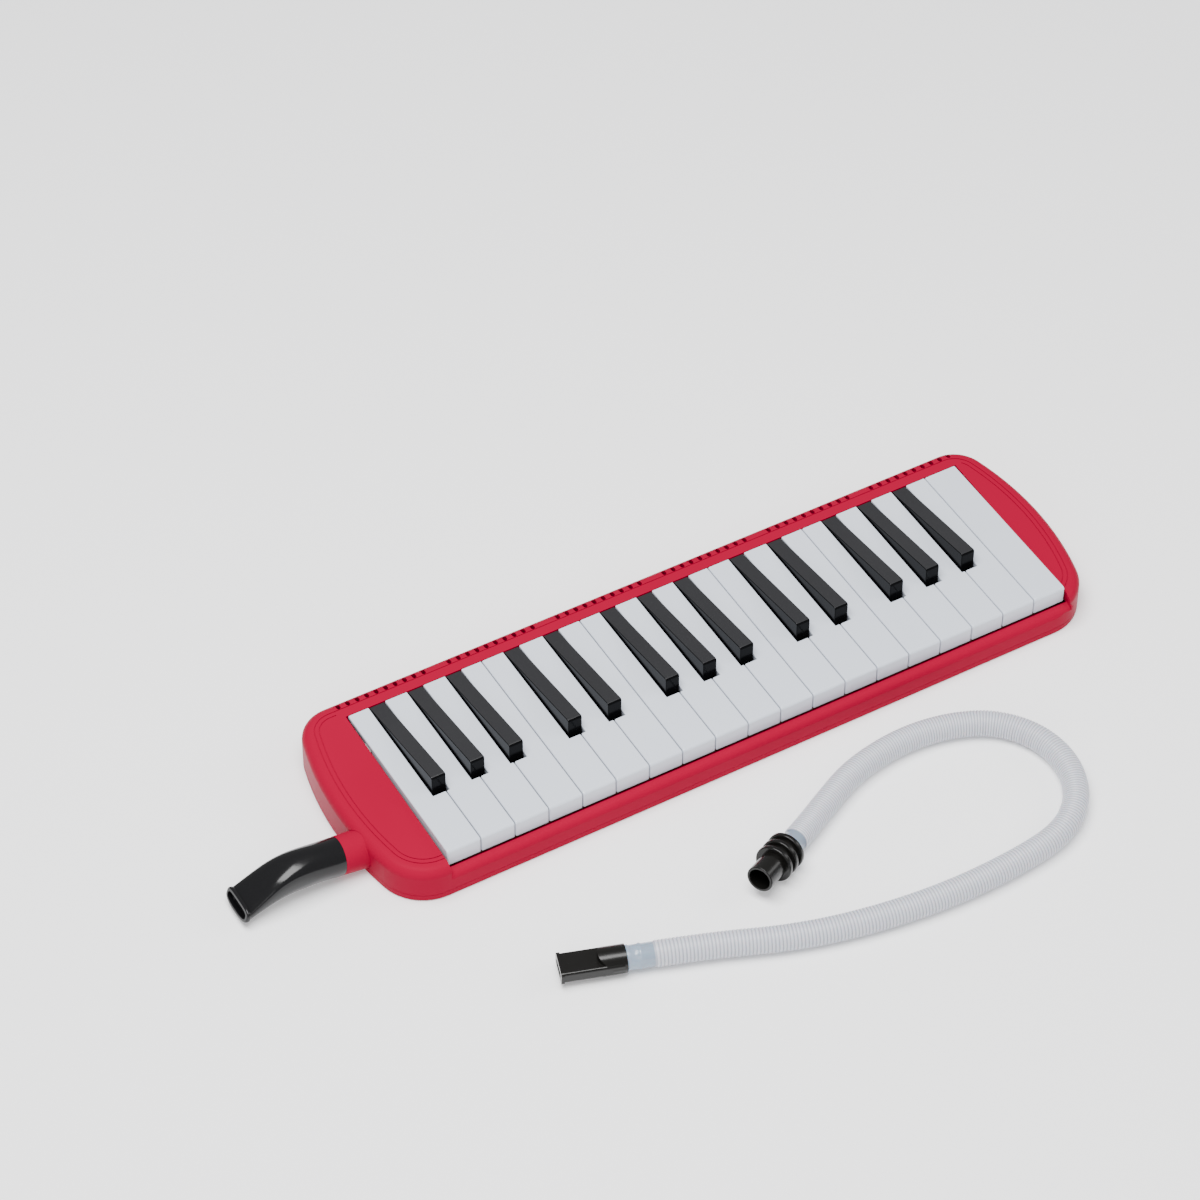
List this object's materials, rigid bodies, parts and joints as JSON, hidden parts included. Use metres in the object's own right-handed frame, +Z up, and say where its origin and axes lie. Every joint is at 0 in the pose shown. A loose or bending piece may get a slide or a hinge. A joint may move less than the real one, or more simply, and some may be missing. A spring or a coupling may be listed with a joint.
{
  "type": "melodica",
  "caption": "Crimson keyboard wind instrument with piano-style keys, a short black mouthpiece in its end socket, and a separate flexible blow hose with black ends.",
  "frame": {"origin": "centre of the flat bottom face of the case, on the surface it lies on", "axes": "+X along the keyboard to the high notes, +Y to the rear rail, +Z up"},
  "size_m": [0.5077, 0.2665, 0.0362],
  "materials": {
    "case_plastic": "crimson moulded plastic, satin gloss",
    "white_key": "glossy white",
    "black_key": "dark grey-black, satin top and glossy sides",
    "black_gloss": "glossy black",
    "black_satin": "semi-gloss black",
    "hose_plastic": "translucent milky white",
    "chest_plastic": "plain moulded plastic",
    "felt": "pressed felt",
    "reed_plate_metal": "brushed",
    "reed_metal": "bright",
    "screw_steel": "zinc plated",
    "seal_rubber": "soft black"
  },
  "bodies": {
    "case": {"black_key_stop_felt": "felt", "bottom_cover": "case_plastic", "case_screws": "screw_steel", "chest_cover": "chest_plastic", "chest_gasket": "felt", "high_reed_plate": "reed_plate_metal", "high_reeds": "reed_metal", "inlet_seal": "seal_rubber", "key_pivot_rod": "screw_steel", "key_springs": "screw_steel", "low_reed_plate": "reed_plate_metal", "low_reeds": "reed_metal", "mouth_socket": "case_plastic", "reed_plate_screws": "screw_steel", "reed_rivets": "reed_metal", "top_case": "case_plastic", "white_key_stop_felt": "felt", "wind_chest": "chest_plastic"},
    "white_key_f3": {"white_key_f3": "white_key"},
    "black_key_fs3": {"black_key_fs3": "black_key"},
    "white_key_g3": {"white_key_g3": "white_key"},
    "black_key_gs3": {"black_key_gs3": "black_key"},
    "white_key_a3": {"white_key_a3": "white_key"},
    "black_key_as3": {"black_key_as3": "black_key"},
    "white_key_b3": {"white_key_b3": "white_key"},
    "white_key_c4": {"white_key_c4": "white_key"},
    "black_key_cs4": {"black_key_cs4": "black_key"},
    "white_key_d4": {"white_key_d4": "white_key"},
    "black_key_ds4": {"black_key_ds4": "black_key"},
    "white_key_e4": {"white_key_e4": "white_key"},
    "white_key_f4": {"white_key_f4": "white_key"},
    "black_key_fs4": {"black_key_fs4": "black_key"},
    "white_key_g4": {"white_key_g4": "white_key"},
    "black_key_gs4": {"black_key_gs4": "black_key"},
    "white_key_a4": {"white_key_a4": "white_key"},
    "black_key_as4": {"black_key_as4": "black_key"},
    "white_key_b4": {"white_key_b4": "white_key"},
    "white_key_c5": {"white_key_c5": "white_key"},
    "black_key_cs5": {"black_key_cs5": "black_key"},
    "white_key_d5": {"white_key_d5": "white_key"},
    "black_key_ds5": {"black_key_ds5": "black_key"},
    "white_key_e5": {"white_key_e5": "white_key"},
    "white_key_f5": {"white_key_f5": "white_key"},
    "black_key_fs5": {"black_key_fs5": "black_key"},
    "white_key_g5": {"white_key_g5": "white_key"},
    "black_key_gs5": {"black_key_gs5": "black_key"},
    "white_key_a5": {"white_key_a5": "white_key"},
    "black_key_as5": {"black_key_as5": "black_key"},
    "white_key_b5": {"white_key_b5": "white_key"},
    "white_key_c6": {"white_key_c6": "white_key"},
    "short_mouthpiece": {"short_mouthpiece": "black_gloss"},
    "blow_hose": {"hose": "hose_plastic", "hose_connector": "black_satin", "hose_mouthpiece": "black_satin"}
  },
  "joints": [
    {"name": "white_f3_press", "type": "hinge", "parent": "case", "child": "white_key_f3", "pos_m": [0, 0.03005, 0.0175], "axis": [1, 0, 0], "range_deg": [0, 2.55], "stiffness_Nm_per_rad": 0.7, "springref_deg": -6.59, "deforming": ["key_springs"]},
    {"name": "black_fs3_press", "type": "hinge", "parent": "case", "child": "black_key_fs3", "pos_m": [0, 0.03005, 0.0175], "axis": [1, 0, 0], "range_deg": [0, 3.5], "stiffness_Nm_per_rad": 0.7, "springref_deg": -6.59, "deforming": ["key_springs"]},
    {"name": "white_g3_press", "type": "hinge", "parent": "case", "child": "white_key_g3", "pos_m": [0, 0.03005, 0.0175], "axis": [1, 0, 0], "range_deg": [0, 2.55], "stiffness_Nm_per_rad": 0.7, "springref_deg": -6.59, "deforming": ["key_springs"]},
    {"name": "black_gs3_press", "type": "hinge", "parent": "case", "child": "black_key_gs3", "pos_m": [0, 0.03005, 0.0175], "axis": [1, 0, 0], "range_deg": [0, 3.5], "stiffness_Nm_per_rad": 0.7, "springref_deg": -6.59, "deforming": ["key_springs"]},
    {"name": "white_a3_press", "type": "hinge", "parent": "case", "child": "white_key_a3", "pos_m": [0, 0.03005, 0.0175], "axis": [1, 0, 0], "range_deg": [0, 2.55], "stiffness_Nm_per_rad": 0.7, "springref_deg": -6.59, "deforming": ["key_springs"]},
    {"name": "black_as3_press", "type": "hinge", "parent": "case", "child": "black_key_as3", "pos_m": [0, 0.03005, 0.0175], "axis": [1, 0, 0], "range_deg": [0, 3.5], "stiffness_Nm_per_rad": 0.7, "springref_deg": -6.59, "deforming": ["key_springs"]},
    {"name": "white_b3_press", "type": "hinge", "parent": "case", "child": "white_key_b3", "pos_m": [0, 0.03005, 0.0175], "axis": [1, 0, 0], "range_deg": [0, 2.55], "stiffness_Nm_per_rad": 0.7, "springref_deg": -6.59, "deforming": ["key_springs"]},
    {"name": "white_c4_press", "type": "hinge", "parent": "case", "child": "white_key_c4", "pos_m": [0, 0.03005, 0.0175], "axis": [1, 0, 0], "range_deg": [0, 2.55], "stiffness_Nm_per_rad": 0.7, "springref_deg": -6.59, "deforming": ["key_springs"]},
    {"name": "black_cs4_press", "type": "hinge", "parent": "case", "child": "black_key_cs4", "pos_m": [0, 0.03005, 0.0175], "axis": [1, 0, 0], "range_deg": [0, 3.5], "stiffness_Nm_per_rad": 0.7, "springref_deg": -6.59, "deforming": ["key_springs"]},
    {"name": "white_d4_press", "type": "hinge", "parent": "case", "child": "white_key_d4", "pos_m": [0, 0.03005, 0.0175], "axis": [1, 0, 0], "range_deg": [0, 2.55], "stiffness_Nm_per_rad": 0.7, "springref_deg": -6.59, "deforming": ["key_springs"]},
    {"name": "black_ds4_press", "type": "hinge", "parent": "case", "child": "black_key_ds4", "pos_m": [0, 0.03005, 0.0175], "axis": [1, 0, 0], "range_deg": [0, 3.5], "stiffness_Nm_per_rad": 0.7, "springref_deg": -6.59, "deforming": ["key_springs"]},
    {"name": "white_e4_press", "type": "hinge", "parent": "case", "child": "white_key_e4", "pos_m": [0, 0.03005, 0.0175], "axis": [1, 0, 0], "range_deg": [0, 2.55], "stiffness_Nm_per_rad": 0.7, "springref_deg": -6.59, "deforming": ["key_springs"]},
    {"name": "white_f4_press", "type": "hinge", "parent": "case", "child": "white_key_f4", "pos_m": [0, 0.03005, 0.0175], "axis": [1, 0, 0], "range_deg": [0, 2.55], "stiffness_Nm_per_rad": 0.7, "springref_deg": -6.59, "deforming": ["key_springs"]},
    {"name": "black_fs4_press", "type": "hinge", "parent": "case", "child": "black_key_fs4", "pos_m": [0, 0.03005, 0.0175], "axis": [1, 0, 0], "range_deg": [0, 3.5], "stiffness_Nm_per_rad": 0.7, "springref_deg": -6.59, "deforming": ["key_springs"]},
    {"name": "white_g4_press", "type": "hinge", "parent": "case", "child": "white_key_g4", "pos_m": [0, 0.03005, 0.0175], "axis": [1, 0, 0], "range_deg": [0, 2.55], "stiffness_Nm_per_rad": 0.7, "springref_deg": -6.59, "deforming": ["key_springs"]},
    {"name": "black_gs4_press", "type": "hinge", "parent": "case", "child": "black_key_gs4", "pos_m": [0, 0.03005, 0.0175], "axis": [1, 0, 0], "range_deg": [0, 3.5], "stiffness_Nm_per_rad": 0.7, "springref_deg": -6.59, "deforming": ["key_springs"]},
    {"name": "white_a4_press", "type": "hinge", "parent": "case", "child": "white_key_a4", "pos_m": [0, 0.03005, 0.0175], "axis": [1, 0, 0], "range_deg": [0, 2.55], "stiffness_Nm_per_rad": 0.7, "springref_deg": -6.59, "deforming": ["key_springs"]},
    {"name": "black_as4_press", "type": "hinge", "parent": "case", "child": "black_key_as4", "pos_m": [0, 0.03005, 0.0175], "axis": [1, 0, 0], "range_deg": [0, 3.5], "stiffness_Nm_per_rad": 0.7, "springref_deg": -6.59, "deforming": ["key_springs"]},
    {"name": "white_b4_press", "type": "hinge", "parent": "case", "child": "white_key_b4", "pos_m": [0, 0.03005, 0.0175], "axis": [1, 0, 0], "range_deg": [0, 2.55], "stiffness_Nm_per_rad": 0.7, "springref_deg": -6.59, "deforming": ["key_springs"]},
    {"name": "white_c5_press", "type": "hinge", "parent": "case", "child": "white_key_c5", "pos_m": [0, 0.03005, 0.0175], "axis": [1, 0, 0], "range_deg": [0, 2.55], "stiffness_Nm_per_rad": 0.7, "springref_deg": -6.59, "deforming": ["key_springs"]},
    {"name": "black_cs5_press", "type": "hinge", "parent": "case", "child": "black_key_cs5", "pos_m": [0, 0.03005, 0.0175], "axis": [1, 0, 0], "range_deg": [0, 3.5], "stiffness_Nm_per_rad": 0.7, "springref_deg": -6.59, "deforming": ["key_springs"]},
    {"name": "white_d5_press", "type": "hinge", "parent": "case", "child": "white_key_d5", "pos_m": [0, 0.03005, 0.0175], "axis": [1, 0, 0], "range_deg": [0, 2.55], "stiffness_Nm_per_rad": 0.7, "springref_deg": -6.59, "deforming": ["key_springs"]},
    {"name": "black_ds5_press", "type": "hinge", "parent": "case", "child": "black_key_ds5", "pos_m": [0, 0.03005, 0.0175], "axis": [1, 0, 0], "range_deg": [0, 3.5], "stiffness_Nm_per_rad": 0.7, "springref_deg": -6.59, "deforming": ["key_springs"]},
    {"name": "white_e5_press", "type": "hinge", "parent": "case", "child": "white_key_e5", "pos_m": [0, 0.03005, 0.0175], "axis": [1, 0, 0], "range_deg": [0, 2.55], "stiffness_Nm_per_rad": 0.7, "springref_deg": -6.59, "deforming": ["key_springs"]},
    {"name": "white_f5_press", "type": "hinge", "parent": "case", "child": "white_key_f5", "pos_m": [0, 0.03005, 0.0175], "axis": [1, 0, 0], "range_deg": [0, 2.55], "stiffness_Nm_per_rad": 0.7, "springref_deg": -6.59, "deforming": ["key_springs"]},
    {"name": "black_fs5_press", "type": "hinge", "parent": "case", "child": "black_key_fs5", "pos_m": [0, 0.03005, 0.0175], "axis": [1, 0, 0], "range_deg": [0, 3.5], "stiffness_Nm_per_rad": 0.7, "springref_deg": -6.59, "deforming": ["key_springs"]},
    {"name": "white_g5_press", "type": "hinge", "parent": "case", "child": "white_key_g5", "pos_m": [0, 0.03005, 0.0175], "axis": [1, 0, 0], "range_deg": [0, 2.55], "stiffness_Nm_per_rad": 0.7, "springref_deg": -6.59, "deforming": ["key_springs"]},
    {"name": "black_gs5_press", "type": "hinge", "parent": "case", "child": "black_key_gs5", "pos_m": [0, 0.03005, 0.0175], "axis": [1, 0, 0], "range_deg": [0, 3.5], "stiffness_Nm_per_rad": 0.7, "springref_deg": -6.59, "deforming": ["key_springs"]},
    {"name": "white_a5_press", "type": "hinge", "parent": "case", "child": "white_key_a5", "pos_m": [0, 0.03005, 0.0175], "axis": [1, 0, 0], "range_deg": [0, 2.55], "stiffness_Nm_per_rad": 0.7, "springref_deg": -6.59, "deforming": ["key_springs"]},
    {"name": "black_as5_press", "type": "hinge", "parent": "case", "child": "black_key_as5", "pos_m": [0, 0.03005, 0.0175], "axis": [1, 0, 0], "range_deg": [0, 3.5], "stiffness_Nm_per_rad": 0.7, "springref_deg": -6.59, "deforming": ["key_springs"]},
    {"name": "white_b5_press", "type": "hinge", "parent": "case", "child": "white_key_b5", "pos_m": [0, 0.03005, 0.0175], "axis": [1, 0, 0], "range_deg": [0, 2.55], "stiffness_Nm_per_rad": 0.7, "springref_deg": -6.59, "deforming": ["key_springs"]},
    {"name": "white_c6_press", "type": "hinge", "parent": "case", "child": "white_key_c6", "pos_m": [0, 0.03005, 0.0175], "axis": [1, 0, 0], "range_deg": [0, 2.55], "stiffness_Nm_per_rad": 0.7, "springref_deg": -6.59, "deforming": ["key_springs"]},
    {"name": "mouthpiece_pull", "type": "slide", "parent": "case", "child": "short_mouthpiece", "axis": [-0.9903, 0, 0.1392], "range_m": [0, 0.02]},
    {"name": "hose_lift", "type": "slide", "parent": "case", "child": "blow_hose", "axis": [0, 0, 1], "range_m": [0, 0.1]}
  ]
}
